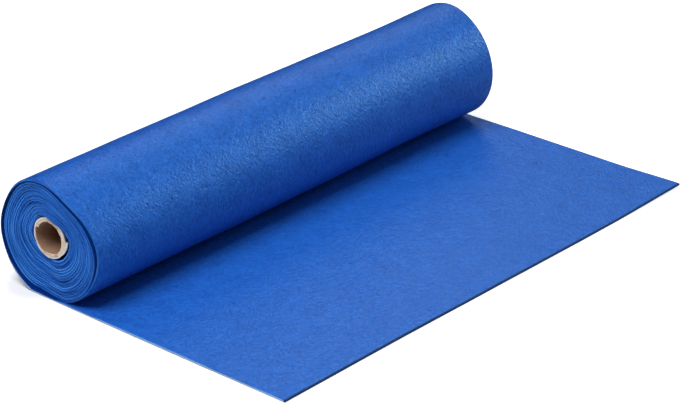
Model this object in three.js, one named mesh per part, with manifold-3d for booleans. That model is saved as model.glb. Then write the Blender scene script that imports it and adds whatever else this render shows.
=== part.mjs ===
// A roll of felt: one long sheet wound on a cardboard core, lying on its side on a
// flat surface, with the sheet's loose end drawn out from under the roll and laid flat.
//
// Millimetres, +Z up. The roll's axis runs along Y and the loose end lies towards +X.
// The origin is under the middle of the whole piece, on the surface that it lies on.
//
// A place round the roll is a sweep in degrees: 0 under the roll, 90 at its back (-X),
// 180 at the top, 270 at its front (+X) and 360 underneath again, one turn further in.
// The felt is wound in that direction, from the loose end inwards. A place along the
// roll runs from the near end (-Y) to the far end (+Y).

import * as THREE from "three";
import Module from "manifold-3d";

const wasm = await Module();
wasm.setup();

// ---- Driving sizes ----

const FELT_WIDTH = 450;
const FELT_THICKNESS = 1.8;
const LOOSE_LENGTH = 229;
const ROLL_RADIUS = 47.6;
const CORE_RADIUS = 15.7;
const BORE_RADIUS = 12.4;
const CORE_LENGTH = 448;

// Where the roll's and the core's middles lie. The roll sags on its flat spot.
const AXIS_HEIGHT = { near: 43.9, far: 45.1 };
const CORE_CENTRE = { x: -1.4, z: 46.7 };
const CORE_SET_BACK = 3.3;

// How far the wound roll is out of round at each end, as lobes spaced evenly round it.
const LOBES = {
  near: [
    { count: 2, height: 0.7, sweep: 135 },
    { count: 3, height: 1.4, sweep: 42 },
  ],
  far: [
    { count: 2, height: 0.1, sweep: 143 },
    { count: 3, height: 0.6, sweep: 58 },
  ],
};

// How much fuller or slimmer the roll is along its length.
const FULLNESS = [
  { along: -225, radius: 0.2 },
  { along: -80, radius: 0.4 },
  { along: 40, radius: 0.1 },
  { along: 150, radius: -0.9 },
  { along: 225, radius: -0.2 },
];

// How far the cut edges of the outermost turn stand past half the felt's width along Y.
// The turn has slipped towards the near end at the back, and away from it in front.
const OUTER_TURN = [
  { sweep: 0, near: -0.6, far: 0.8 },
  { sweep: 40, near: -0.3, far: 0.8 },
  { sweep: 65, near: -1.8, far: 0.7 },
  { sweep: 90, near: -3.3, far: 0.6 },
  { sweep: 130, near: -1.9, far: 0.4 },
  { sweep: 180, near: -0.9, far: 0 },
  { sweep: 225, near: 3.4, far: -2.6 },
  { sweep: 255, near: 4.8, far: -2.8 },
  { sweep: 275, near: 4, far: -3 },
  { sweep: 300, near: 0.8, far: -3.6 },
  { sweep: 330, near: 0.4, far: -3.4 },
  { sweep: 360, near: 2.2, far: -2.3 },
];

// The same for the second turn, which is the rim of each end face.
const SECOND_TURN = [
  { sweep: 0, near: 2, far: -2.3 },
  { sweep: 20, near: 3.8, far: -2 },
  { sweep: 38, near: 2.3, far: -1.9 },
  { sweep: 60, near: 1, far: -1.8 },
  { sweep: 90, near: -0.7, far: -1.6 },
  { sweep: 130, near: 1.2, far: -1.4 },
  { sweep: 205, near: -1.4, far: -1.6 },
  { sweep: 240, near: 0.9, far: -2 },
  { sweep: 270, near: 1.3, far: -2.4 },
  { sweep: 300, near: -0.3, far: -2.6 },
  { sweep: 330, near: -0.5, far: -2.4 },
  { sweep: 360, near: 2, far: -2.3 },
];

// How much further along Y the innermost turns stand than the rim of each end face.
const DISH = { near: 2.4, far: 2.2 };

// The loose end is cut a little out of square: how far each edge stands past half the
// felt's width, where it leaves the roll and at its corner, and how far it is bowed. Its
// end is cut askew by its skew each way, and waved.
const LOOSE_EDGE = {
  near: { at_roll: -0.6, at_corner: -3.5, bow: -0.5 },
  far: { at_roll: 0.8, at_corner: 0.6, bow: 0 },
};
const END_EDGE = { skew: 0.7, wave: 0.6 };
const RAISED_CORNER = { height: 1.3, from_end: 60, from_edge: 90 };

// The core is wound from thick board. Its outer ply ends in a lip that stands proud,
// and its inner ply is missing behind a second step, so the wall is thin there.
const OUTER_LIP = { sweep: 265, height: 2.6, taper: 50 };
const INNER_STEP = { sweep: 115, depth: 2, taper: 40 };

// The felt stands off the core over the lip: it rises before it and comes back after.
const FELT_OVER_LIP = { rises_from: 235, up_at: 259, falls_from: 271, down_at: 350 };

// ---- Clearances and the fineness of the solids ----

const CORE_GAP = 0.4;
const WELD = 0.2;
const TURN_STEPS = 96;
const CORE_STEP_DEGREES = 5;
const PLY_EDGE_DEGREES = 0.8;
const LOOSE_STEPS = 20;
const WIDTH_STATIONS = [0, 0.03, 0.1, 0.2, 0.35, 0.5, 0.65, 0.8, 0.9, 0.97, 1];
const FACE_RINGS = 4;

const DEGREE = Math.PI / 180;
const FULL_TURN = 360;
const { lerp, smoothstep, clamp } = THREE.MathUtils;

// ---- The form of the roll ----

// A column of a table, read between its rows.
function read(table, key, column, at) {
  const next = table.findIndex((row) => row[key] >= at);
  if (next === 0) return table[0][column];
  if (next < 0) return table.at(-1)[column];
  const before = table[next - 1];
  const after = table[next];
  const part = (at - before[key]) / (after[key] - before[key]);
  return lerp(before[column], after[column], part);
}

// 0 at the near end of the roll and 1 at the far end.
function alongRoll(y) {
  return clamp(y / FELT_WIDTH + 0.5, 0, 1);
}

function lobeHeight(lobes, sweep) {
  const heights = lobes.map(
    (lobe) => lobe.height * Math.cos(lobe.count * (sweep - lobe.sweep) * DEGREE),
  );
  return heights.reduce((sum, height) => sum + height, 0);
}

// The outer face of the outermost turn, which closes in by one thickness in a turn.
function outerRadius(sweep, y) {
  const near = lobeHeight(LOBES.near, sweep);
  const far = lobeHeight(LOBES.far, sweep);
  const wound = ROLL_RADIUS - (FELT_THICKNESS * sweep) / FULL_TURN;
  return wound + lerp(near, far, alongRoll(y)) + read(FULLNESS, "along", "radius", y);
}

// A point round the roll's axis, pressed flat where it would go below a floor.
function rollPoint(radius, sweep, y, floor) {
  const axisHeight = lerp(AXIS_HEIGHT.near, AXIS_HEIGHT.far, alongRoll(y));
  const x = -radius * Math.sin(sweep * DEGREE);
  const z = axisHeight - radius * Math.cos(sweep * DEGREE);
  return [x, y, Math.max(z, floor)];
}

// ---- The form of the core ----

// The outer ply's lip is highest at its end and fades over its taper.
function coreOuterRadius(sweep) {
  const pastEnd = (sweep - OUTER_LIP.sweep + FULL_TURN) % FULL_TURN;
  return CORE_RADIUS + OUTER_LIP.height * (1 - smoothstep(pastEnd, 0, OUTER_LIP.taper));
}

function boreRadius(sweep) {
  const missing = sweep <= INNER_STEP.sweep ? smoothstep(sweep, 0, INNER_STEP.taper) : 0;
  return BORE_RADIUS + INNER_STEP.depth * missing;
}

function holeRadius(sweep) {
  const { rises_from, up_at, falls_from, down_at } = FELT_OVER_LIP;
  const rise = smoothstep(sweep, rises_from, up_at);
  const fall = smoothstep(sweep, falls_from, down_at);
  return CORE_RADIUS + CORE_GAP + OUTER_LIP.height * (rise - fall);
}

function corePoint(radius, sweep, y) {
  const x = CORE_CENTRE.x - radius * Math.sin(sweep * DEGREE);
  const z = CORE_CENTRE.z - radius * Math.cos(sweep * DEGREE);
  return [x, y, z];
}

// ---- Closed meshes ----

function closedMesh(points, triangles) {
  const geometry = new THREE.BufferGeometry();
  geometry.setAttribute("position", new THREE.Float32BufferAttribute(points.flat(), 3));
  geometry.setIndex(triangles);
  return geometry;
}

// Two triangles for the four corners a, b, c, d of a cell, in the order round it.
function cell(triangles, a, b, c, d) {
  triangles.push(a, b, c, a, c, d);
}

// A sheet between a lower and an upper face, each a function of a row and a station.
function sheetGeometry(rows, stations, lowerPoint, upperPoint) {
  const points = [];
  for (let row = 0; row <= rows; row++) {
    for (let i = 0; i < stations.length; i++) {
      points.push(lowerPoint(row, stations[i]), upperPoint(row, stations[i]));
    }
  }
  const last = stations.length - 1;
  const lower = (row, i) => 2 * (row * stations.length + i);
  const upper = (row, i) => lower(row, i) + 1;
  const triangles = [];
  for (let row = 0; row < rows; row++) {
    for (let i = 0; i < last; i++) {
      cell(triangles, lower(row, i), lower(row + 1, i), lower(row + 1, i + 1), lower(row, i + 1));
      cell(triangles, upper(row, i), upper(row, i + 1), upper(row + 1, i + 1), upper(row + 1, i));
    }
    cell(triangles, lower(row, 0), upper(row, 0), upper(row + 1, 0), lower(row + 1, 0));
    cell(triangles, lower(row, last), lower(row + 1, last), upper(row + 1, last), upper(row, last));
  }
  for (let i = 0; i < last; i++) {
    cell(triangles, lower(0, i), lower(0, i + 1), upper(0, i + 1), upper(0, i));
    cell(triangles, lower(rows, i), upper(rows, i), upper(rows, i + 1), lower(rows, i + 1));
  }
  return closedMesh(points, triangles);
}

// A closed profile carried once round an axis: ringPoint gives the point of the profile
// at a sweep, and the profile runs along the outside, in, back through the hole and out.
function ringGeometry(profile, sweeps, ringPoint) {
  const points = sweeps.flatMap((sweep) => profile.map((place) => ringPoint(place, sweep)));
  const triangles = [];
  for (let s = 0; s < sweeps.length; s++) {
    const here = s * profile.length;
    const there = ((s + 1) % sweeps.length) * profile.length;
    for (let p = 0; p < profile.length; p++) {
      const q = (p + 1) % profile.length;
      cell(triangles, here + p, there + p, there + q, here + q);
    }
  }
  return closedMesh(points, triangles);
}

function solidOf(geometry) {
  const mesh = new wasm.Mesh({
    numProp: 3,
    vertProperties: geometry.attributes.position.array,
    triVerts: new Uint32Array(geometry.index.array),
  });
  return new wasm.Manifold(mesh);
}

function geometryOf(solid) {
  const mesh = solid.getMesh();
  const geometry = new THREE.BufferGeometry();
  geometry.setAttribute("position", new THREE.BufferAttribute(mesh.vertProperties, 3));
  geometry.setIndex(new THREE.BufferAttribute(mesh.triVerts, 1));
  geometry.computeVertexNormals();
  return geometry;
}

// ---- The felt ----

// The loose end and the outermost turn are one run of rows: the first LOOSE_STEPS of
// them come in from the loose end, and the others go once round the roll.

function looseX(row, station) {
  const askew = END_EDGE.skew * (1 - 2 * station);
  const wave = END_EDGE.wave * Math.sin(2 * Math.PI * station);
  return (LOOSE_LENGTH + askew - wave) * (1 - row / LOOSE_STEPS);
}

function looseEdge(side, x) {
  const edge = LOOSE_EDGE[side];
  const part = x / LOOSE_LENGTH;
  return lerp(edge.at_roll, edge.at_corner, part) + edge.bow * Math.sin(Math.PI * part);
}

function widthPlace(nearEdge, farEdge, station) {
  return lerp(-FELT_WIDTH / 2 + nearEdge, FELT_WIDTH / 2 + farEdge, station);
}

// The loose end's far corner has curled up off the surface.
function cornerLift(x, y) {
  const towardsEnd = smoothstep(x, LOOSE_LENGTH - RAISED_CORNER.from_end, LOOSE_LENGTH);
  const towardsEdge = smoothstep(y, FELT_WIDTH / 2 - RAISED_CORNER.from_edge, FELT_WIDTH / 2);
  return RAISED_CORNER.height * towardsEnd * towardsEdge;
}

function sheetPoint(row, station, depth) {
  if (row <= LOOSE_STEPS) {
    const x = looseX(row, station);
    const y = widthPlace(looseEdge("near", x), looseEdge("far", x), station);
    return [x, y, cornerLift(x, y) + depth];
  }
  const sweep = ((row - LOOSE_STEPS) / TURN_STEPS) * FULL_TURN;
  const near = read(OUTER_TURN, "sweep", "near", sweep);
  const far = read(OUTER_TURN, "sweep", "far", sweep);
  const y = widthPlace(near, far, station);
  // At the end of the turn the sheet rests on its own loose end instead of the surface.
  const floor = sweep > FULL_TURN / 2 ? FELT_THICKNESS - WELD : 0;
  return rollPoint(outerRadius(sweep, y) - depth, sweep, y, floor + depth);
}

function outerSheet() {
  return sheetGeometry(
    LOOSE_STEPS + TURN_STEPS,
    WIDTH_STATIONS,
    (row, station) => sheetPoint(row, station, 0),
    (row, station) => sheetPoint(row, station, FELT_THICKNESS),
  );
}

// The wound body inside the outermost turn, with the hole for the core. A place on its
// profile is a station across the width and a part of the way in from rim to core.
function woundBody() {
  const rings = Array.from({ length: FACE_RINGS + 1 }, (_, i) => i / FACE_RINGS);
  const nearFace = rings.toReversed().map((inwards) => ({ station: 0, inwards }));
  const barrel = WIDTH_STATIONS.slice(1, -1).map((station) => ({ station, inwards: 0 }));
  const farFace = rings.map((inwards) => ({ station: 1, inwards }));
  const profile = [...nearFace, ...barrel, ...farFace];
  const sweeps = Array.from({ length: TURN_STEPS }, (_, i) => (i / TURN_STEPS) * FULL_TURN);
  return ringGeometry(profile, sweeps, ({ station, inwards }, sweep) => {
    const near = read(SECOND_TURN, "sweep", "near", sweep) + DISH.near * inwards;
    const far = read(SECOND_TURN, "sweep", "far", sweep) + DISH.far * inwards;
    const y = widthPlace(near, far, station);
    const radius = outerRadius(sweep, y) - FELT_THICKNESS + WELD;
    const outside = rollPoint(radius, sweep, y, FELT_THICKNESS - WELD);
    const inside = corePoint(holeRadius(sweep), sweep, y);
    return outside.map((value, axis) => lerp(value, inside[axis], inwards));
  });
}

function feltGeometry() {
  const body = solidOf(woundBody());
  const sheet = solidOf(outerSheet());
  return geometryOf(body.add(sheet));
}

// ---- The core ----

function coreGeometry() {
  const even = Array.from({ length: FULL_TURN / CORE_STEP_DEGREES }, (_, i) => i * CORE_STEP_DEGREES);
  const plyEdges = [OUTER_LIP.sweep - PLY_EDGE_DEGREES, INNER_STEP.sweep + PLY_EDGE_DEGREES];
  const sweeps = [...even, ...plyEdges].sort((a, b) => a - b);
  const nearY = -FELT_WIDTH / 2 + CORE_SET_BACK;
  const farY = nearY + CORE_LENGTH;
  const profile = [
    { radius: boreRadius, y: nearY },
    { radius: coreOuterRadius, y: nearY },
    { radius: coreOuterRadius, y: farY },
    { radius: boreRadius, y: farY },
  ];
  return ringGeometry(profile, sweeps, ({ radius, y }, sweep) =>
    corePoint(radius(sweep), sweep, y),
  );
}

// ---- The piece ----

const feltBlue = new THREE.MeshStandardMaterial({
  color: 0x3a67c0,
  roughness: 0.9,
  metalness: 0,
});
const greyBoard = new THREE.MeshStandardMaterial({
  color: 0xb39a80,
  roughness: 0.85,
  metalness: 0,
});

function part(name, geometry, material) {
  const mesh = new THREE.Mesh(geometry, material);
  mesh.name = name;
  return mesh;
}

const roll = new THREE.Group();
roll.add(part("felt", feltGeometry(), feltBlue));
roll.add(part("core", coreGeometry(), greyBoard));

// The whole piece is moved so that it stands on the origin's level, centred on it.
const extent = new THREE.Box3().setFromObject(roll);
const middle = extent.getCenter(new THREE.Vector3());
roll.position.set(-middle.x, -middle.y, -extent.min.z);

const piece = new THREE.Group();
piece.add(roll);

export default piece;
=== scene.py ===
"""The looks of a roll of felt: one long sheet of needled felt, wound on a cardboard core
that lies on its side, with the sheet's loose end drawn out flat from under the roll.

Metres, +Z up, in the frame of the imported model. The roll's axis runs along Y and the loose
end lies towards +X. The forms are worked out about the foot of the roll, at its middle,
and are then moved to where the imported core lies.

A place round the roll is a sweep in degrees: 0 under the roll, 90 at its back (-X), 180 at
the top, 270 at its front (+X) and 360 underneath again, one turn further in. A path is a
sweep that goes on counting from one turn to the next.
"""

import bpy
import numpy as np
from mathutils import Matrix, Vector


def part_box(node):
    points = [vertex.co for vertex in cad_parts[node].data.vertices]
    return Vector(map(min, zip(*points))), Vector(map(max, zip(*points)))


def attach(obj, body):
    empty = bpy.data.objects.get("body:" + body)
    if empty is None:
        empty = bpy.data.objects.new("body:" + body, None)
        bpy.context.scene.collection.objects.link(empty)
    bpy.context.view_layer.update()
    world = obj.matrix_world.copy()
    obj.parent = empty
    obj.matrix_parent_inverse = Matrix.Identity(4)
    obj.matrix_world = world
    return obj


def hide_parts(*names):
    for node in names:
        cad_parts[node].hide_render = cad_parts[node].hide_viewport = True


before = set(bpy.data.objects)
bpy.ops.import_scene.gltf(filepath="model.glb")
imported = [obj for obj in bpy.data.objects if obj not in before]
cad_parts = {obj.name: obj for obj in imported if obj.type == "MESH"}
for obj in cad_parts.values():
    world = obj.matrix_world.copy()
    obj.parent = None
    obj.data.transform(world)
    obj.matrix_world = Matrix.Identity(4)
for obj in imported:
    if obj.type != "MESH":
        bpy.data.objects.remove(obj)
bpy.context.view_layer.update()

# ---- Sizes ----

FELT_WIDTH = 0.450
FELT_THICKNESS = 0.0018
LOOSE_LENGTH = 0.229
ROLL_RADIUS = 0.0476
CORE_RADIUS = 0.0157
BORE_RADIUS = 0.0124
CORE_LENGTH = 0.448
CORE_GAP = 0.0004

# Where the roll's and the core's middles lie. The roll sags on its flat spot.
AXIS_HEIGHT_NEAR = 0.0439
AXIS_HEIGHT_FAR = 0.0451
CORE_CENTRE_X = -0.0014
CORE_CENTRE_Z = 0.0467
CORE_SET_BACK = 0.0033

# How far the wound roll is out of round at each end, as lobes spaced evenly round it:
# their count, their height and the sweep of the first of them.
LOBES_NEAR = [(2, 0.0007, 135), (3, 0.0014, 42)]
LOBES_FAR = [(2, 0.0001, 143), (3, 0.0006, 58)]

# How much fuller or slimmer the roll is along its length: y, radius.
FULLNESS = [
    (-0.225, 0.0002),
    (-0.080, 0.0004),
    (0.040, 0.0001),
    (0.150, -0.0009),
    (0.225, -0.0002),
]

# The height over which the roll's flat spot passes into its round.
SPOT_GIVE = 0.0008

# The roll's outside is slightly dented: how deep and how wide the dents are.
DENT_DEPTH = 0.00022
DENT_WAVE = 0.05

# How far the cut edges of the outermost turn stand past half the felt's width along Y:
# sweep, near edge, far edge.
OUTER_TURN = [
    (0, -0.0006, 0.0008),
    (40, -0.0003, 0.0008),
    (65, -0.0018, 0.0007),
    (90, -0.0033, 0.0006),
    (130, -0.0019, 0.0004),
    (180, -0.0016, 0.0),
    (210, -0.0012, -0.0020),
    (240, 0.0029, -0.0027),
    (265, 0.0041, -0.0029),
    (300, 0.0008, -0.0036),
    (330, 0.0004, -0.0034),
    (360, 0.0022, -0.0023),
]

# The same for the second turn, which is the rim of each end face.
SECOND_TURN = [
    (0, 0.0020, -0.0023),
    (20, 0.0038, -0.0020),
    (38, 0.0023, -0.0019),
    (60, 0.0010, -0.0018),
    (90, -0.0007, -0.0016),
    (130, 0.0012, -0.0014),
    (170, -0.0006, -0.0015),
    (205, -0.0020, -0.0016),
    (240, 0.0009, -0.0020),
    (270, 0.0013, -0.0024),
    (300, -0.0003, -0.0026),
    (330, -0.0005, -0.0024),
    (360, 0.0020, -0.0023),
]

# The outermost turn's near cut edge is slanted at its back, where the outer face of the
# felt ends this much further along Y than its inner face: sweep, slant.
SLANT = [
    (0, 0),
    (50, 0.0002),
    (70, 0.0013),
    (85, 0.0021),
    (130, 0.0021),
    (165, 0.0008),
    (190, 0),
]

# The outermost turn lies a little loose on the next one, most of all past the top of the
# roll: sweep, and the gap inside it as a part of a turn's thickness.
OUTER_SLACK = [
    (0, 0),
    (20, 0.1),
    (130, 0.1),
    (170, 0.4),
    (205, 0.95),
    (235, 0.45),
    (265, 0.1),
    (360, 0),
]

# How much further along Y the innermost turns stand than the rim of each end face.
DISH_NEAR = 0.0024
DISH_FAR = 0.0022

# The loose end's edges: how far each stands past half the felt's width where it leaves the
# roll and at its corner, and how far it is bowed. Its end is cut askew, and waved. One of
# its corners is raised. The rest lies flat from some way out, with a slight ripple.
LOOSE_EDGE_NEAR = (-0.0006, -0.0035, -0.0005)
LOOSE_EDGE_FAR = (0.0008, 0.0006, 0.0)
END_EDGE_SKEW = 0.0007
END_EDGE_WAVE = 0.0006
CORNER_HEIGHT = 0.0013
CORNER_FROM_END = 0.060
CORNER_FROM_EDGE = 0.090
LIES_FLAT = (0.02, 0.08)
RIPPLE = 0.0003
RIPPLE_WAVE = 0.08

# The core's outer ply ends in a lip that stands proud, and its inner ply is missing
# behind a second step.
LIP_SWEEP = 265
LIP_HEIGHT = 0.0026
LIP_TAPER = 50
STEP_SWEEP = 115
STEP_DEPTH = 0.002
STEP_TAPER = 40

# The felt starts against the core's lip, and the next turn out bridges it. Its hole is
# flared near both ends.
FELT_START_SWEEP = 254
BRIDGE_UP = (215, 258)
BRIDGE_DOWN = (280, 350)
BRIDGE_HEIGHT = 0.0017
END_FLARE = 0.0006
END_FLARE_LENGTH = 0.03

# The turns are wound unevenly: how far they shift in and out, as a part of a turn's
# thickness, the air left between them, and how far their cut edges stand in and out. The
# waves are in turns. A turn is never thicker than its room allows, or than the most.
SHIFT = 0.14
SHIFT_WAVE = 0.62
AIR_LEAST = 0.05
AIR_MORE = 0.16
AIR_UNDER_ROLL = 0.05
UNDER_ROLL_SWEEP = 50
AIR_WAVE = 0.31
TURN_THICKNESS_MOST = 1.05
EDGE_SCATTER = 0.0005
EDGE_WAVE = 0.27
SCATTER_TURNS = (1.1, 2)

# The layers from the rim over which the shifts in and out grow, and those from the core
# over which they end.
SHIFT_FROM_RIM = (1, 3)
SHIFT_FROM_CORE = (2.5, 1)

# From this part of the way in, the turns begin to step down off the felt's start.
STEPPED_FROM = 0.25

# Between two turns the roll has opened up a little, over the top of the core: the turn, the
# gap as a part of a turn's thickness, the turns over which it fades, and its sweeps.
SLACK_TURN = 10
SLACK_OPENING = 0.5
SLACK_REACH = 2
SLACK_FROM = (95, 130)
SLACK_TO = (190, 235)

# The seeds of what is left to chance.
DENT_SEED = 11
RIPPLE_SEED = 12
SHIFT_SEED = 21
AIR_SEED = 22
NEAR_EDGE_SEED = 31
FAR_EDGE_SEED = 32
BURR_SEED = 41
RELIEF_SEED = 42

DEGREE = np.pi / 180
FULL_TURN = 360
HOLE_RADIUS = CORE_RADIUS + CORE_GAP
LAYERS = int((ROLL_RADIUS - HOLE_RADIUS) / FELT_THICKNESS)
WOUND_SWEEP = (LAYERS - 1) * FULL_TURN + FELT_START_SWEEP
WOUND_LENGTH = np.pi * (ROLL_RADIUS**2 - HOLE_RADIUS**2) / FELT_THICKNESS
FELT_LENGTH = LOOSE_LENGTH + WOUND_LENGTH

# Where the foot of the roll, at its middle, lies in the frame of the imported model.
core_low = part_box("core")[0]
FOOT = np.array([
    core_low.x + CORE_RADIUS - CORE_CENTRE_X,
    core_low.y + FELT_WIDTH / 2 - CORE_SET_BACK,
    core_low.z + CORE_RADIUS - CORE_CENTRE_Z,
])

# ---- The camera ----

CAMERA_AZIMUTH = 41.356
CAMERA_ELEVATION = 25.169
CAMERA_ROLL = -0.151
CAMERA_DISTANCE = 2.3421
CAMERA_ASIDE = 0.0588
CAMERA_UP = -0.0028
CAMERA_LENS = 162.15
CAMERA_NEAREST = 0.1
CAMERA_FARTHEST = 50


def stand(thing, right, up, back, place):
    """Turns a camera or a light to these three axes of its own, and puts it in its place."""
    thing.matrix_world = Matrix([*zip(right, up, back, place), (0, 0, 0, 1)])
    bpy.context.scene.collection.objects.link(thing)


def sight_axes(azimuth, elevation):
    """To the right of, and straight back from, something that looks at the part from this
    azimuth and elevation in degrees. Azimuth 0 is at the near side (-Y) and 90 at +X."""
    a, e = azimuth * DEGREE, elevation * DEGREE
    back = np.array([np.sin(a) * np.cos(e), -np.cos(a) * np.cos(e), np.sin(e)])
    return np.array([np.cos(a), np.sin(a), 0.0]), back


def add_camera():
    """A camera back from the foot of the roll along its sight line, then moved aside and up
    and rolled a little."""
    right, back = sight_axes(CAMERA_AZIMUTH, CAMERA_ELEVATION)
    up = np.cross(back, right)
    roll = CAMERA_ROLL * DEGREE
    across = right * np.cos(roll) + up * np.sin(roll)
    upright = up * np.cos(roll) - right * np.sin(roll)
    place = FOOT + back * CAMERA_DISTANCE + across * CAMERA_ASIDE + upright * CAMERA_UP
    data = bpy.data.cameras.new("camera")
    data.lens = CAMERA_LENS
    data.clip_start = CAMERA_NEAREST
    data.clip_end = CAMERA_FARTHEST
    camera = bpy.data.objects.new("camera", data)
    stand(camera, across, upright, back, place)
    bpy.context.scene.camera = camera


add_camera()

# ---- Curves and chance ----


def blend(a, b, part):
    """a where part is 0 and b where it is 1, along a straight line."""
    return a + (b - a) * part


def smoothstep(x, start, end):
    """0 before start and 1 after end, along 3 t^2 - 2 t^3 between them."""
    t = np.clip((x - start) / (end - start), 0, 1)
    return t * t * (3 - 2 * t)


def read(table, column, at):
    """A column of a table at any place: a cubic between rows, whose slope at each row is
    that of the rows round it."""
    rows = np.array(table, float)
    x = rows[:, 0]
    y = rows[:, column]
    slope = np.gradient(y, x)
    i = np.clip(np.searchsorted(x, at) - 1, 0, len(x) - 2)
    step = x[i + 1] - x[i]
    t = np.clip((at - x[i]) / step, 0, 1)
    value = y[i] * (1 + 2 * t) * (1 - t) ** 2 + y[i + 1] * t * t * (3 - 2 * t)
    return value + step * (slope[i] * t * (1 - t) ** 2 - slope[i + 1] * t * t * (1 - t))


# How many sine waves make a wobble, and the least and most of its wave that each is long.
WOBBLE_WAVES = 8
WOBBLE_LENGTHS = (0.7, 1.8)


def wobble(seed, wave, *places):
    """A smooth uneven value of about -1 to 1: twice the mean of some sine waves over the
    places, each of chance direction, length and phase."""
    chance = np.random.default_rng(seed)
    total = 0
    for _ in range(WOBBLE_WAVES):
        direction = chance.normal(size=len(places))
        direction /= np.linalg.norm(direction)
        length = wave * chance.uniform(*WOBBLE_LENGTHS)
        turns = sum(d * p for d, p in zip(direction, places)) / length
        total = total + np.sin(2 * np.pi * (turns + chance.uniform()))
    return 2 * total / WOBBLE_WAVES


# ---- The form of the roll ----


def along_roll(y):
    """0 at the near end of the roll and 1 at the far end."""
    return np.clip(y / FELT_WIDTH + 0.5, 0, 1)


def lobe_height(lobes, sweep):
    """The sum of height * cos(count * (sweep - first)) over the lobes."""
    return sum(height * np.cos(count * (sweep - first) * DEGREE) for count, height, first in lobes)


def press_on_surface(z):
    """z, but never below 0: a parabola joins the flat spot to the round within the give."""
    pressed = np.clip(z + SPOT_GIVE, 0, None) ** 2 / (4 * SPOT_GIVE)
    return np.where(z > SPOT_GIVE, z, pressed)


def roll_outside(sweep, y):
    """The roll's outside: a circle of the roll's radius with its lobes, its fullness and a
    slight unevenness, about an axis that rises towards the far end, pressed flat below."""
    lobes = blend(lobe_height(LOBES_NEAR, sweep), lobe_height(LOBES_FAR, sweep), along_roll(y))
    angle = sweep * DEGREE
    round_x = ROLL_RADIUS * np.cos(angle)
    round_z = ROLL_RADIUS * np.sin(angle)
    dents = wobble(DENT_SEED, DENT_WAVE, round_x, round_z, y)
    radius = ROLL_RADIUS + lobes + read(FULLNESS, 1, y) + DENT_DEPTH * dents
    height = blend(AXIS_HEIGHT_NEAR, AXIS_HEIGHT_FAR, along_roll(y))
    return -radius * np.sin(angle), press_on_surface(height - radius * np.cos(angle))


def felt_hole(sweep, y):
    """The inside of the innermost turn: a circle just outside the core, which stands
    further off where it bridges the core's lip, and a little at both ends."""
    bridge = smoothstep(sweep, *BRIDGE_UP) - smoothstep(sweep, *BRIDGE_DOWN)
    flare = smoothstep(np.abs(y), FELT_WIDTH / 2 - END_FLARE_LENGTH, FELT_WIDTH / 2)
    radius = HOLE_RADIUS + BRIDGE_HEIGHT * bridge + END_FLARE * flare
    angle = sweep * DEGREE
    return CORE_CENTRE_X - radius * np.sin(angle), CORE_CENTRE_Z - radius * np.cos(angle)


def layers_in(path):
    """How many layers of felt lie outside this place on the path. Near the rim it grows
    evenly round each turn. Near the core it grows only past the felt's start, where each
    turn steps down off the one inside it. The slack inside the outermost turn presses the
    others in. Chance shifts and the slack place are added, but not near rim and core."""
    turn = np.floor(path / FULL_TURN)
    sweep = path - turn * FULL_TURN
    even = sweep / FULL_TURN
    stepped = smoothstep(sweep, FELT_START_SWEEP, BRIDGE_DOWN[1])
    inwards = path / WOUND_SWEEP
    layers = turn + blend(even, stepped, smoothstep(inwards, STEPPED_FROM, 1))
    pressed = np.where(turn > 0, (LAYERS - layers) / (LAYERS - 1), 0)
    layers = layers + read(OUTER_SLACK, 1, sweep) * pressed
    from_core = LAYERS - layers
    loose = smoothstep(layers, *SHIFT_FROM_RIM) * (1 - smoothstep(from_core, *SHIFT_FROM_CORE))
    shift = SHIFT * wobble(SHIFT_SEED, SHIFT_WAVE, path / FULL_TURN)
    from_slack = layers - SLACK_TURN
    opening = smoothstep(sweep, *SLACK_FROM) * (1 - smoothstep(sweep, *SLACK_TO))
    fading = np.exp(-np.abs(from_slack) / SLACK_REACH)
    slack = SLACK_OPENING / 2 * np.sign(from_slack) * fading * opening
    return layers + loose * (shift + slack)


def layer_faces(path):
    """The layers outside this turn's outer face, and outside its inner face: the felt
    fills what the next turn in leaves it, but for the air between them."""
    outer = layers_in(path)
    next_turn = path + FULL_TURN
    there = next_turn <= WOUND_SWEEP
    room = np.where(there, layers_in(np.minimum(next_turn, WOUND_SWEEP)), LAYERS) - outer
    air = AIR_LEAST + AIR_MORE * np.clip(wobble(AIR_SEED, AIR_WAVE, path / FULL_TURN), 0, 1)
    air = air + AIR_UNDER_ROLL * (1 - smoothstep(path, 0, UNDER_ROLL_SWEEP))
    return outer, outer + np.minimum(room, TURN_THICKNESS_MOST) * (1 - air)


def turn_edges(path):
    """How far both cut edges of the felt stand past half its width, from the tables of the
    two outer turns and the dish of the end faces, with a chance scatter from turn to turn."""
    sweep = path % FULL_TURN
    turns = path / FULL_TURN
    inwards = np.clip(path / WOUND_SWEEP, 0, 1)
    scatter = EDGE_SCATTER * smoothstep(turns, *SCATTER_TURNS)
    edges = []
    for column, dish, seed in ((1, DISH_NEAR, NEAR_EDGE_SEED), (2, DISH_FAR, FAR_EDGE_SEED)):
        rim = read(SECOND_TURN, column, sweep) + dish * inwards
        edge = np.where(path <= FULL_TURN, read(OUTER_TURN, column, path), rim)
        edges.append(edge + scatter * wobble(seed, EDGE_WAVE, turns))
    return edges


# ---- Closed meshes ----


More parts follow.
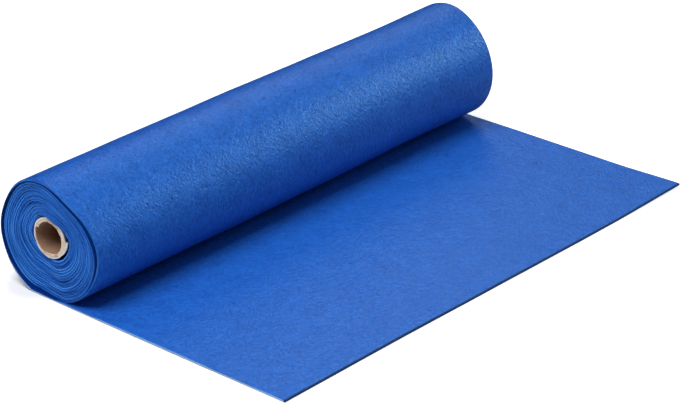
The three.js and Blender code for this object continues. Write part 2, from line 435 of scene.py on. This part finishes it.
def add_mesh(name, grid, material, place_name, places, ends_meet):
    """A closed piece from a grid of points: each row is a closed ring, the same way round,
    and each ring joins the next. The rings either meet again in a loop, or the first and
    the last are filled from side to side. The places are an attribute for its material."""
    rows, ring = grid.shape[:2]
    index = np.arange(rows * ring).reshape(rows, ring)
    here = index if ends_meet else index[:-1]
    there = np.roll(index, -1, axis=0) if ends_meet else index[1:]
    quads = np.stack([here, there, np.roll(there, -1, axis=1), np.roll(here, -1, axis=1)], axis=-1)
    faces = quads.reshape(-1, 4)
    if not ends_meet:
        half = ring // 2
        low = np.arange(half - 1)
        high = ring - 1 - low
        cap = np.stack([low, low + 1, high - 1, high], axis=-1)
        last = (rows - 1) * ring
        faces = np.concatenate([faces, cap, cap[:, ::-1] + last])
    mesh = bpy.data.meshes.new(name)
    mesh.vertices.add(rows * ring)
    mesh.vertices.foreach_set("co", grid.reshape(-1).astype(np.float32))
    mesh.loops.add(faces.size)
    mesh.loops.foreach_set("vertex_index", faces.reshape(-1).astype(np.int32))
    mesh.polygons.add(len(faces))
    mesh.polygons.foreach_set("loop_start", np.arange(0, faces.size, 4, dtype=np.int32))
    mesh.polygons.foreach_set("use_smooth", np.ones(len(faces), bool))
    mesh.update(calc_edges=True)
    mesh.validate()
    attribute = mesh.attributes.new(place_name, "FLOAT_VECTOR", "POINT")
    attribute.data.foreach_set("vector", places.reshape(-1).astype(np.float32))
    mesh.materials.append(material)
    piece = bpy.data.objects.new(name, mesh)
    bpy.context.scene.collection.objects.link(piece)
    return piece


# ---- The felt ----

EDGE_ROUNDING = 0.0005
EDGE_POINTS = 6
WIDTH_PLACES = 30
ROW_LENGTH = 0.003
# The rows within the rounding of a cut end, as parts of it, and the most that it takes away.
ROUNDED_ROWS = (0, 0.1, 0.4)
ROUNDED_MOST = 0.97


def felt_section():
    """One ring round the felt's section: its lower face from the near edge to the far one,
    the far cut edge, the upper face back and the near cut edge, in whose middle it starts.
    The cut edges are half of |x|^3 + |y|^3 = 1. Gives the part of the way across, the
    inset and the part of the way up."""
    across = 0.5 - 0.5 * np.cos(np.pi * np.linspace(0, 1, WIDTH_PLACES))
    turn = np.linspace(-np.pi / 2, np.pi / 2, EDGE_POINTS + 2)[1:-1]
    inset = 1 - np.cos(turn) ** (2 / 3)
    up = 0.5 + 0.5 * np.sign(turn) * np.abs(np.sin(turn)) ** (2 / 3)
    face = np.ones(WIDTH_PLACES)
    edge = np.ones(EDGE_POINTS)
    ring = np.stack([
        np.concatenate([across, edge, across[::-1], 0 * edge]),
        EDGE_ROUNDING * np.concatenate([face, inset, face, inset]),
        np.concatenate([0 * face, up, face, up[::-1]]),
    ])
    return np.roll(ring, EDGE_POINTS // 2, axis=1)


def felt_rows():
    """Places along the felt from its loose end to its start on the core: even steps, and
    closer ones where both cut ends are rounded. Gives too how much of the thickness is
    left there, from inset^3 + left^3 = 1."""
    rounding = EDGE_ROUNDING * np.array(ROUNDED_ROWS)
    count = round(FELT_LENGTH / ROW_LENGTH)
    even = np.linspace(EDGE_ROUNDING, FELT_LENGTH - EDGE_ROUNDING, count)
    along = np.concatenate([rounding, even, FELT_LENGTH - rounding[::-1]])
    from_end = np.minimum(along, FELT_LENGTH - along)
    inset = np.clip(1 - from_end / EDGE_ROUNDING, 0, ROUNDED_MOST)
    return along, (1 - inset**3) ** (1 / 3)


def path_at(wound):
    """The sweep reached when this much of the felt is wound on: an even spiral from the
    roll's radius, whose length is its mean radius times its sweep."""
    closing = FELT_THICKNESS / (2 * np.pi)
    radius = np.sqrt(np.maximum(ROLL_RADIUS**2 - 2 * closing * wound, 0))
    last_radius = np.sqrt(ROLL_RADIUS**2 - 2 * closing * WOUND_LENGTH)
    return (ROLL_RADIUS - radius) / (ROLL_RADIUS - last_radius) * WOUND_SWEEP


def loose_edge(edge, x):
    """A straight line from the roll to the corner with half a sine wave's bow."""
    at_roll, at_corner, bow = edge
    part = x / LOOSE_LENGTH
    return blend(at_roll, at_corner, part) + bow * np.sin(np.pi * part)


def felt_points():
    """The felt as a grid of rows along it and points round its section. The loose end lies
    flat with a slight ripple and a raised corner. The rest lies between the roll's outside
    and the hole, as far in as the layers outside it. Gives the points, and each point's
    place in the felt before it was wound."""
    along, fill = felt_rows()
    across, inset, up = felt_section()
    along, fill = along[:, None], fill[:, None]
    up = 0.5 + (up - 0.5) * fill
    path = path_at(np.clip(along - LOOSE_LENGTH, 0, None))
    is_loose = along < LOOSE_LENGTH

    near_turn, far_turn = turn_edges(path)
    x_square = LOOSE_LENGTH - along
    near = np.where(is_loose, loose_edge(LOOSE_EDGE_NEAR, x_square), near_turn)
    far = np.where(is_loose, loose_edge(LOOSE_EDGE_FAR, x_square), far_turn)
    slant = np.where(is_loose, 0, read(SLANT, 1, path)) * (1 - up) * (across < 0.5)
    y = blend(near - FELT_WIDTH / 2 + inset + slant, far + FELT_WIDTH / 2 - inset, across)

    sweep = path % FULL_TURN
    outer, inner = layer_faces(path)
    inwards = blend(outer, inner, up) / LAYERS
    outside_x, outside_z = roll_outside(sweep, y)
    hole_x, hole_z = felt_hole(sweep, y)
    wound_x = blend(outside_x, hole_x, inwards)
    wound_z = blend(outside_z, hole_z, inwards)

    end_edge = END_EDGE_SKEW * (1 - 2 * across) - END_EDGE_WAVE * np.sin(2 * np.pi * across)
    loose_x = x_square * (1 + end_edge / LOOSE_LENGTH)
    rise = smoothstep(loose_x, LOOSE_LENGTH - CORNER_FROM_END, LOOSE_LENGTH)
    rise = CORNER_HEIGHT * rise * smoothstep(y, FELT_WIDTH / 2 - CORNER_FROM_EDGE, FELT_WIDTH / 2)
    away = smoothstep(loose_x, *LIES_FLAT)
    waves = 0.5 + 0.5 * wobble(RIPPLE_SEED, RIPPLE_WAVE, loose_x, y)
    ripple = RIPPLE * np.clip(waves, 0, 1) * away
    under_roll = (inner - outer)[~is_loose][0] * (CORE_CENTRE_Z - HOLE_RADIUS) / LAYERS
    thickness = blend(under_roll, FELT_THICKNESS, away)
    loose_z = rise + ripple + up * thickness

    x = np.where(is_loose, loose_x, wound_x)
    z = np.where(is_loose, loose_z, wound_z)
    points = np.stack(np.broadcast_arrays(x, y, z), axis=-1) + FOOT
    flat_y = blend(inset, FELT_WIDTH - inset, across)
    places = np.stack(np.broadcast_arrays(along, flat_y, up * FELT_THICKNESS), axis=-1)
    return points, places


def add_felt(material):
    """The whole felt as one closed sheet, from its loose end to its start on the core."""
    points, places = felt_points()
    return add_mesh("felt_sheet", points, material, "felt_place", places, ends_meet=False)


# ---- The core ----

CORE_STEP = 2.5
PLY_EDGE = 0.8
PLY_THICKNESS = 0.0008
WALL_PLACES = 21
# Places along the core, from 0 at its near end to 1 at its far end: closer near its ends.
OUTSIDE_PLACES = [0.001, 0.004, 0.02, 0.5, 0.98, 0.996, 0.999]
BORE_PLACES = [
    0.999, 0.996, 0.99, 0.97, 0.9, 0.7, 0.5,
    0.3, 0.1, 0.04, 0.015, 0.006, 0.003, 0.001,
]
# The cut ends: how uneven each ply is, with its neighbours so many thicknesses away in the
# wobble, and the burrs, which vary less through the wall and stand out less at the rim.
END_RELIEF = 0.00025
RELIEF_WAVE = 0.006
PLIES_APART = 3
BURR = 0.0004
BURR_DEPTH = 0.0012
BURR_WAVE = 0.004
BURR_THROUGH_WALL = 0.3
BURR_AT_RIM = 0.4


def core_outer_radius(sweep):
    """The core's radius, with the lip that is highest at the ply's end and then fades."""
    past_end = (sweep - LIP_SWEEP) % FULL_TURN
    return CORE_RADIUS + LIP_HEIGHT * (1 - smoothstep(past_end, 0, LIP_TAPER))


def bore_radius(sweep):
    """The bore's radius, wider where the inner ply is missing."""
    missing = np.where(sweep <= STEP_SWEEP, smoothstep(sweep, 0, STEP_TAPER), 0)
    return BORE_RADIUS + STEP_DEPTH * missing


def core_section():
    """One ring round the core's wall: out over its near end, along the outside, in over
    its far end and back through the bore. Gives the part of the way out through the wall
    and the part of the way along."""
    wall = np.linspace(0, 1, WALL_PLACES)
    outside = np.ones(len(OUTSIDE_PLACES))
    bore = np.zeros(len(BORE_PLACES))
    out = np.concatenate([wall, outside, wall[::-1], bore])
    along = np.concatenate([0 * wall, OUTSIDE_PLACES, 0 * wall + 1, BORE_PLACES])
    return out, along


def core_points():
    """The core as a loop of rings, each from the bore's radius at 0 to the outer one at 1.
    Its cut ends are uneven from ply to ply, and burrs stand into the bore and out past the
    rim close to them. Gives the points, and each point's place in the flat board: round
    the core, along it from its middle, and down from its outside."""
    even = np.arange(0, FULL_TURN, CORE_STEP)
    ply_edges = [LIP_SWEEP - PLY_EDGE, STEP_SWEEP + PLY_EDGE]
    sweep = np.sort(np.concatenate([even, ply_edges]))[:, None]
    out, along = core_section()
    angle = sweep * DEGREE
    arc = CORE_RADIUS * angle
    wall = core_outer_radius(sweep) - bore_radius(sweep)
    depth = wall * (1 - out)
    from_end = CORE_LENGTH * np.minimum(along, 1 - along)
    at_end = 1 - smoothstep(from_end, 0, BURR_DEPTH)
    burr = BURR * at_end * wobble(BURR_SEED, BURR_WAVE, arc, BURR_THROUGH_WALL * depth)
    radius = bore_radius(sweep) + wall * out + burr * np.where(out < 0.5, 1, BURR_AT_RIM)
    ply = np.floor(depth / PLY_THICKNESS)
    relief = wobble(RELIEF_SEED, RELIEF_WAVE, arc, PLIES_APART * PLY_THICKNESS * ply)
    relief = END_RELIEF * at_end * relief * np.where(along < 0.5, 1, -1)
    y_from_middle = CORE_LENGTH * (along - 0.5) + relief
    y = CORE_SET_BACK - FELT_WIDTH / 2 + CORE_LENGTH / 2 + y_from_middle
    x = CORE_CENTRE_X - radius * np.sin(angle)
    z = CORE_CENTRE_Z - radius * np.cos(angle)
    points = np.stack(np.broadcast_arrays(x, y, z), axis=-1) + FOOT
    places = np.stack(np.broadcast_arrays(arc, y_from_middle, depth), axis=-1)
    return points, places


def add_core(material):
    """The core as one closed tube."""
    points, places = core_points()
    return add_mesh("core_tube", points, material, "board_place", places, ends_meet=True)


# ---- Materials ----


def add_node(tree, kind, inputs=None, output=0, **settings):
    """A shader node with these inputs, each a value or another node's output. Gives its
    output of this name or number."""
    node = tree.nodes.new(kind)
    for name, value in settings.items():
        setattr(node, name, value)
    for key, value in (inputs or {}).items():
        if isinstance(value, bpy.types.NodeSocket):
            tree.links.new(value, node.inputs[key])
        else:
            node.inputs[key].default_value = value
    return node.outputs[output]


def calculate(tree, operation, *values):
    """One sum, product or the like of these values."""
    return add_node(tree, "ShaderNodeMath", dict(enumerate(values)), operation=operation)


def average(tree, values):
    """The mean of the values, where one that is given more than once weighs more."""
    total = values[0]
    for value in values[1:]:
        total = calculate(tree, "ADD", total, value)
    return calculate(tree, "MULTIPLY", total, 1 / len(values))


def product(tree, values):
    """All the values multiplied together."""
    total = values[0]
    for value in values[1:]:
        total = calculate(tree, "MULTIPLY", total, value)
    return total


def step_between(tree, value, start, end):
    """0 where the value is at start and 1 where it is at end, smoothly."""
    inputs = {"Value": value, "From Min": start, "From Max": end}
    return add_node(tree, "ShaderNodeMapRange", inputs, interpolation_type="SMOOTHSTEP")


def spread(tree, value, start, end, low=0.0, high=1.0):
    """low where the value is at start and high where it is at end, along a straight line."""
    inputs = {"Value": value, "From Min": start, "From Max": end, "To Min": low, "To Max": high}
    return add_node(tree, "ShaderNodeMapRange", inputs)


def mix_colours(tree, part, a, b):
    """The colour a where part is 0 and b where it is 1."""
    inputs = {"Factor": part, "A": a, "B": b}
    return add_node(tree, "ShaderNodeMix", inputs, output="Result", data_type="RGBA")


def noise(tree, place, scale, detail, roughness=0.5):
    """Soft noise about 0.5, in grains that are the smaller the larger the scale is."""
    inputs = {"Vector": place, "Scale": scale, "Detail": detail, "Roughness": roughness}
    return add_node(tree, "ShaderNodeTexNoise", inputs)


def streaks(tree, place, size, detail, degrees=0.0, roughness=0.5):
    """Noise whose grains have this size along each axis of the places, turned by degrees."""
    inputs = {"Vector": place, "Rotation": (0, 0, degrees * DEGREE), "Scale": size}
    turned = add_node(tree, "ShaderNodeMapping", inputs, vector_type="TEXTURE")
    return noise(tree, turned, 1.0, detail, roughness)


def bump(tree, height, distance, strength):
    """The surface's direction where heights of 0 to 1 stand for this distance."""
    inputs = {"Strength": strength, "Distance": distance, "Height": height}
    return add_node(tree, "ShaderNodeBump", inputs)


def own_place(tree, attribute):
    """The places that a piece's own attribute holds, and their parts X, Y and Z."""
    place = add_node(tree, "ShaderNodeAttribute", output="Vector", attribute_name=attribute)
    axes = tree.nodes.new("ShaderNodeSeparateXYZ")
    tree.links.new(place, axes.inputs[0])
    return place, axes.outputs["X"], axes.outputs["Y"], axes.outputs["Z"]


def new_material(name, **finish):
    """A material whose one shader has these values on its own sockets."""
    material = bpy.data.materials.new(name)
    material.use_nodes = True
    shader = material.node_tree.nodes["Principled BSDF"]
    for socket, value in finish.items():
        shader.inputs[socket.replace("_", " ")].default_value = value
    return material, material.node_tree, shader


# The felt's places are along it from its loose end, across it from its near edge and up
# through it from its lower face. Pairs of them say where a mark is at 0 and at 1.

# On the felt's faces, its colours, and the noise that gives the darkest and the lightest of
# them: the darkest on the loose end and on the roll, and the change between the two.
FELT_DARK = (0.006, 0.058, 0.33, 1)
FELT_LIGHT = (0.019, 0.140, 0.605, 1)
DARKEST_LOOSE = 0.34
DARKEST_WOUND = 0.41
LIGHTEST = 0.59
FROM_LOOSE_TO_WOUND = (LOOSE_LENGTH - 0.06, LOOSE_LENGTH + 0.02)

# Its fibres, from tufts to single ones: degrees, length, width. They are bent by noise.
CLUMP_WAYS = [(-62, 0.0046, 0.0015), (-12, 0.0040, 0.0015), (48, 0.0040, 0.0016)]
GLOSS_WAYS = [(-42, 0.0046, 0.0014), (68, 0.0040, 0.0015)]
TUFT_WAYS = [(-50, 0.0080, 0.0026), (35, 0.0070, 0.0028)]
FIBRE_WAYS = [
    (-52, 0.0048, 0.0006),
    (-8, 0.0050, 0.0005),
    (33, 0.0044, 0.0006),
    (84, 0.0040, 0.0005),
]
FIBRE_ROUGHNESS = 0.6
BEND = 0.004
BEND_SCALE = 140.0
CLOUD_SCALE = 60.0

# Its finish: a slight shine, coloured like the felt, that varies with the fibres.
FELT_ROUGHNESS = 0.31
SHEEN_TINT = (0.16, 0.75, 1.0, 1)
GLOSS_NOISE = (0.42, 0.60)
GLOSS = (0.34, 0.70)
FELT_BUMP = 0.0009
FIBRE_HEIGHT = 0.25
TUFT_HEIGHT = 0.4

# Its cut edges, which are duller and show the layers in it as light and dark lines; the
# lighter lines are partly painted highlight.
CUT = (0.0007, 0.0002)
CUT_DARK = (0.0010, 0.034, 0.26, 1)
CUT_LIGHT = (0.046, 0.222, 0.72, 1)
CUT_NOISE = (0.40, 0.73)
CUT_ROUGHNESS = 0.85
CUT_GLOSS = 0.4
LAYER_GRAIN = (0.035, 0.0008, 0.0005)
LINE_GRAIN = (0.05, 0.05, 0.003)
LINE_NOISE = (0.42, 0.62)
LINE_UP = (0.0009, 0.0014)
LINE_HIGHLIGHT = 0.34

# The near cut edge is pale low down, along the loose end and the first part of the roll.
CUT_PALE = (0.30, 0.39, 0.56, 1)
PALE_ALONG = (LOOSE_LENGTH + 0.065, LOOSE_LENGTH + 0.045)
PALE_ACROSS = (0.0030, 0.0010)
PALE_UP = (0.0017, 0.0012)

# Painted shade, a dark blue, on the cut end of the loose end and its faces right next to it.
LOOSE_CUT_SHADE_BLUE = (0.010, 0.040, 0.15, 1)
LOOSE_CUT = (0.0015, 0.0008)

# Painted shade, dark blue, on the outer turns' faces close to the near edge, in the gaps between
# turns: from and to along the felt, then across its thickness the face and a place inside.
PAINTED_SHADE_BLUE = (0.001, 0.022, 0.17, 1)
PAINTED_SHADE_MARGINS = [
    (LOOSE_LENGTH - 0.015, LOOSE_LENGTH + 0.240, 0.0017, 0.0013),
    (LOOSE_LENGTH + 0.430, LOOSE_LENGTH + 0.560, 0.0001, 0.0005),
]
PAINTED_SHADE_BEGINS = 0.01
PAINTED_SHADE_FADES = 0.02
PAINTED_SHADE_ACROSS = (0.007, 0.005)


def fibres(tree, place, ways):
    """The mean of uneven streaks of some lengths and widths, each kind laid at its own
    angle to the felt's length."""
    return average(tree, [
        streaks(tree, place, (length, width, width), 1.0, degrees, FIBRE_ROUGHNESS)
        for degrees, length, width in ways
    ])


def cut_edge_colour(tree, felt_place, clumps, single):
    """Layers of fibre as thin streaks, with lighter lines in the upper half of the edge, partly
    painted highlight, and the pale part of the near edge."""
    place, along, across, up = felt_place
    layers = streaks(tree, place, LAYER_GRAIN, 2.0)
    tone = average(tree, [layers, layers, layers, clumps, single])
    # Partly painted highlight: lighter lines along the layers, in the upper half of the edge.
    lines = step_between(tree, streaks(tree, place, LINE_GRAIN, 1.0), *LINE_NOISE)
    lines = calculate(tree, "MULTIPLY", lines, step_between(tree, up, *LINE_UP))
    tone = calculate(tree, "MULTIPLY_ADD", lines, LINE_HIGHLIGHT, tone)
    colour = mix_colours(tree, spread(tree, tone, *CUT_NOISE), CUT_DARK, CUT_LIGHT)
    pale = product(tree, [
        step_between(tree, up, *PALE_UP),
        step_between(tree, across, *PALE_ACROSS),
        step_between(tree, along, *PALE_ALONG),
    ])
    return mix_colours(tree, pale, colour, CUT_PALE)


def painted_shade_margin(tree, felt_place, start, end, face, inside_it):
    """Painted shade: 1 on one face of the felt close to its near edge, between two lengths along
    it.
    """
    _, along, across, up = felt_place
    return product(tree, [
        step_between(tree, along, start, start + PAINTED_SHADE_BEGINS),
        step_between(tree, along, end, end - PAINTED_SHADE_FADES),
        step_between(tree, across, *PAINTED_SHADE_ACROSS),
        step_between(tree, up, inside_it, face),
    ])


def felt_material():
    """Short fibres needled together: tufts, clumps and single fibres that cross at several
    angles, bent a little, in a thin cloudiness. Where the felt is cut, its layers show as
    light and dark lines along the edge, the lighter ones partly painted highlight. Painted
    shade darkens the loose end's cut end and the outer turns' faces by the near edge."""
    material, tree, shader = new_material("blue_needled_felt", Specular_Tint=SHEEN_TINT)
    felt_place = own_place(tree, "felt_place")
    place, along, across, _ = felt_place
    bend = {"Vector": place, "Scale": BEND_SCALE}
    bend = add_node(tree, "ShaderNodeTexNoise", bend, output="Color")
    bend = {0: bend, 1: (0.5, 0.5, 0.5)}
    bend = add_node(tree, "ShaderNodeVectorMath", bend, operation="SUBTRACT")
    bend = {0: bend, 1: (BEND, BEND, BEND), 2: place}
    bent = add_node(tree, "ShaderNodeVectorMath", bend, operation="MULTIPLY_ADD")
    clumps = fibres(tree, bent, CLUMP_WAYS)
    tufts = fibres(tree, bent, TUFT_WAYS)
    single = fibres(tree, bent, FIBRE_WAYS)
    cloud = noise(tree, place, CLOUD_SCALE, 2.0)

    tone = average(tree, [clumps, clumps, clumps, clumps, single, single, tufts, cloud])
    wound = step_between(tree, along, *FROM_LOOSE_TO_WOUND)
    darkest = spread(tree, wound, 0.0, 1.0, DARKEST_LOOSE, DARKEST_WOUND)
    colour = mix_colours(tree, spread(tree, tone, darkest, LIGHTEST), FELT_DARK, FELT_LIGHT)

    from_edge = calculate(tree, "MINIMUM", across, calculate(tree, "SUBTRACT", FELT_WIDTH, across))
    from_edge = calculate(tree, "MINIMUM", from_edge, along)
    cut = step_between(tree, from_edge, *CUT)
    colour = mix_colours(tree, cut, colour, cut_edge_colour(tree, felt_place, clumps, single))
    # Painted shade on the loose end's cut end.
    loose_cut_shade = step_between(tree, along, *LOOSE_CUT)
    colour = mix_colours(tree, loose_cut_shade, colour, LOOSE_CUT_SHADE_BLUE)
    # Painted shade where the outer turns' faces lie in the gaps by the near edge.
    for margin in PAINTED_SHADE_MARGINS:
        colour = mix_colours(tree, painted_shade_margin(tree, felt_place, *margin), colour, PAINTED_SHADE_BLUE)
    tree.links.new(colour, shader.inputs["Base Color"])

    roughness = spread(tree, cut, 0.0, 1.0, FELT_ROUGHNESS, CUT_ROUGHNESS)
    tree.links.new(roughness, shader.inputs["Roughness"])
    gloss = spread(tree, fibres(tree, bent, GLOSS_WAYS), *GLOSS_NOISE, *GLOSS)
    gloss = calculate(tree, "MULTIPLY", gloss, spread(tree, cut, 0.0, 1.0, 1.0, CUT_GLOSS))
    tree.links.new(gloss, shader.inputs["Specular IOR Level"])

    height = calculate(tree, "MULTIPLY_ADD", single, FIBRE_HEIGHT, clumps)
    height = calculate(tree, "MULTIPLY_ADD", tufts, TUFT_HEIGHT, height)
    tree.links.new(bump(tree, height, FELT_BUMP, 1.0), shader.inputs["Normal"])
    return material


# The board's places are round the core, along it from its middle and down from its outside.
WHITE_PLY = (0.62, 0.60, 0.64, 1)
WHITE_PLY_THICKNESS = 0.0011
WHITE_PLY_EDGE = (WHITE_PLY_THICKNESS + 0.0002, WHITE_PLY_THICKNESS + 0.0004)
TAN_PLY = (0.66, 0.53, 0.42, 1)
TAN_SHADE = (0.42, 0.31, 0.23, 1)
TAN_NOISE = (0.40, 0.75)
TAN_DARK = (0.30, 0.20, 0.13, 1)
LINE_BETWEEN_PLIES = (0.16, 0.02)
LINE_DARKNESS = 0.55
BORE_BROWN = (0.29, 0.172, 0.112, 1)
# Painted shade: the core's outside, under the felt, is this near-black.
SHADED_PLY = (0.030, 0.034, 0.05, 1)
OUTSIDE_DOWN = (0.0008, 0.0003)
PAST_CUT_END = (CORE_LENGTH / 2 + 0.0001, CORE_LENGTH / 2 - 0.0004)
BOARD_ROUGHNESS = 0.85
BOARD_GLOSS = 0.3
GRAIN_SCALE = 900.0
BLOTCH_SCALE = 220.0
RAGGED_PLY = 0.0006
RAGGED_END = 0.0016
BOARD_BUMP = 0.0003
BOARD_BUMP_STRENGTH = 0.7


def board_material():
    """Wound board: on its cut ends a pale outer ply, and tan plies with thin dark lines
    between them, all with ragged edges. It is brown in the bore, and its outside, which the
    felt covers, is painted near-black: painted shade."""
    material, tree, shader = new_material(
        "wound_board", Roughness=BOARD_ROUGHNESS, Specular_IOR_Level=BOARD_GLOSS
    )
    place, _, along, down = own_place(tree, "board_place")
    grain = noise(tree, place, GRAIN_SCALE, 3.0)
    blotch = noise(tree, place, BLOTCH_SCALE, 2.0)
    ragged_down = calculate(tree, "MULTIPLY_ADD", grain, RAGGED_PLY, down)
    ply = calculate(tree, "FRACT", calculate(tree, "DIVIDE", ragged_down, PLY_THICKNESS))
    line = step_between(tree, calculate(tree, "PINGPONG", ply, 0.5), *LINE_BETWEEN_PLIES)
    tan = mix_colours(tree, step_between(tree, blotch, *TAN_NOISE), TAN_PLY, TAN_SHADE)
    tan = mix_colours(tree, calculate(tree, "MULTIPLY", line, LINE_DARKNESS), tan, TAN_DARK)
    cut_end = mix_colours(tree, step_between(tree, ragged_down, *WHITE_PLY_EDGE), WHITE_PLY, tan)
    from_middle = calculate(tree, "ABSOLUTE", along)
    ragged_along = calculate(tree, "MULTIPLY_ADD", grain, RAGGED_END, from_middle)
    past_cut_end = step_between(tree, ragged_along, *PAST_CUT_END)
    # Painted shade on the core's outside.
    face = mix_colours(tree, step_between(tree, down, *OUTSIDE_DOWN), BORE_BROWN, SHADED_PLY)
    tree.links.new(mix_colours(tree, past_cut_end, cut_end, face), shader.inputs["Base Color"])
    tree.links.new(bump(tree, grain, BOARD_BUMP, BOARD_BUMP_STRENGTH), shader.inputs["Normal"])
    return material


# ---- The stage ----

FLOOR_SIZE = 14.0
FLOOR_WHITE = (0.88, 0.88, 0.88, 1)
FLOOR_ROUGHNESS = 0.9
WHITE = (1, 1, 1, 1)
# Painted light: the floor's glow grows between two distances from the shadow by the roll's near
# end: its start, end and strength, first as it lights the part and then as more of it shows.
SHADOW_X = -0.025
SHADOW_Y = 0.010 - FELT_WIDTH / 2
FLOOR_GLOW_LIGHT = (0.07, 0.50, 0.5)
FLOOR_GLOW_SEEN = (0.016, 0.030, 0.2)


def camera_ray(tree):
    """1 where the camera sees the surface itself, and 0 where it lights or shades others."""
    return add_node(tree, "ShaderNodeLightPath", output="Is Camera Ray")


def floor_glow(tree, away, start, end, strength):
    """A glow that grows to its strength between two distances."""
    return calculate(tree, "MULTIPLY", step_between(tree, away, start, end), strength)


def add_floor():
    """A plain pale floor at the level that the felt lies on. Away from the shadow by the
    near end of the roll it glows faintly, a painted light that washes out its shadows."""
    half = FLOOR_SIZE / 2
    mesh = bpy.data.meshes.new("floor")
    corners = [(-half, -half, 0), (half, -half, 0), (half, half, 0), (-half, half, 0)]
    mesh.from_pydata(corners, [], [(0, 1, 2, 3)])
    material, tree, shader = new_material(
        "floor_white", Base_Color=FLOOR_WHITE, Roughness=FLOOR_ROUGHNESS, Emission_Color=WHITE
    )
    place = add_node(tree, "ShaderNodeTexCoord", output="Object")
    ends = {0: place, 1: (FOOT[0] + SHADOW_X, FOOT[1] + SHADOW_Y, 0)}
    away = add_node(tree, "ShaderNodeVectorMath", ends, output="Value", operation="DISTANCE")
    # Painted light: the floor glows away from the shadow place, lighting the part and washing out
    # shadows.
    light = floor_glow(tree, away, *FLOOR_GLOW_LIGHT)
    seen = calculate(tree, "MULTIPLY", floor_glow(tree, away, *FLOOR_GLOW_SEEN), camera_ray(tree))
    tree.links.new(calculate(tree, "ADD", light, seen), shader.inputs["Emission Strength"])
    mesh.materials.append(material)
    floor = bpy.data.objects.new("floor", mesh)
    floor.visible_glossy = False
    bpy.context.scene.collection.objects.link(floor)


# The studio's walls look white to the camera and give this little light. The softboxes, all
# at one distance: name, azimuth, elevation, size, radiance.
WORLD_LIGHT = 0.02
SOFTBOX_DISTANCE = 2.4
SOFTBOXES = [
    ("key_near", 0, 60, 1.3, 10.5),
    ("top_left", 300, 60, 1.3, 1.1),
    ("top_far", 180, 60, 1.3, 0.8),
    ("sheen_top", 210, 45, 1.2, 0.8),
    ("sheen_left", 220, 30, 0.9, 0.8),
    ("sheen_right", 160, 25, 0.9, 5.4),
    ("sheen_low", 138, 20, 0.8, 2.2),
]


def add_softbox(name, azimuth, elevation, size, radiance):
    """A square softbox that faces the part, whose surface has this radiance."""
    light = bpy.data.lights.new(name, "AREA")
    light.shape = "SQUARE"
    light.size = size
    light.energy = radiance * np.pi * size**2
    box = bpy.data.objects.new(name, light)
    right, back = sight_axes(azimuth, elevation)
    stand(box, right, np.cross(back, right), back, back * SOFTBOX_DISTANCE)
    box.visible_camera = False


def add_lights():
    """The softboxes, in a studio whose walls look white and give little light."""
    world = bpy.data.worlds.new("studio")
    world.use_nodes = True
    tree = world.node_tree
    background = tree.nodes["Background"]
    background.inputs["Color"].default_value = WHITE
    strength = spread(tree, camera_ray(tree), 0.0, 1.0, WORLD_LIGHT, 1.0)
    tree.links.new(strength, background.inputs["Strength"])
    bpy.context.scene.world = world
    for softbox in SOFTBOXES:
        add_softbox(*softbox)


# ---- The piece ----

felt = add_felt(felt_material())
core = add_core(board_material())
for piece, node, slot in ((felt, "felt", "felt"), (core, "core", "core_board")):
    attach(piece, "root")
    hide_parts(node)

add_floor()
add_lights()
bpy.context.scene.view_settings.view_transform = "Standard"
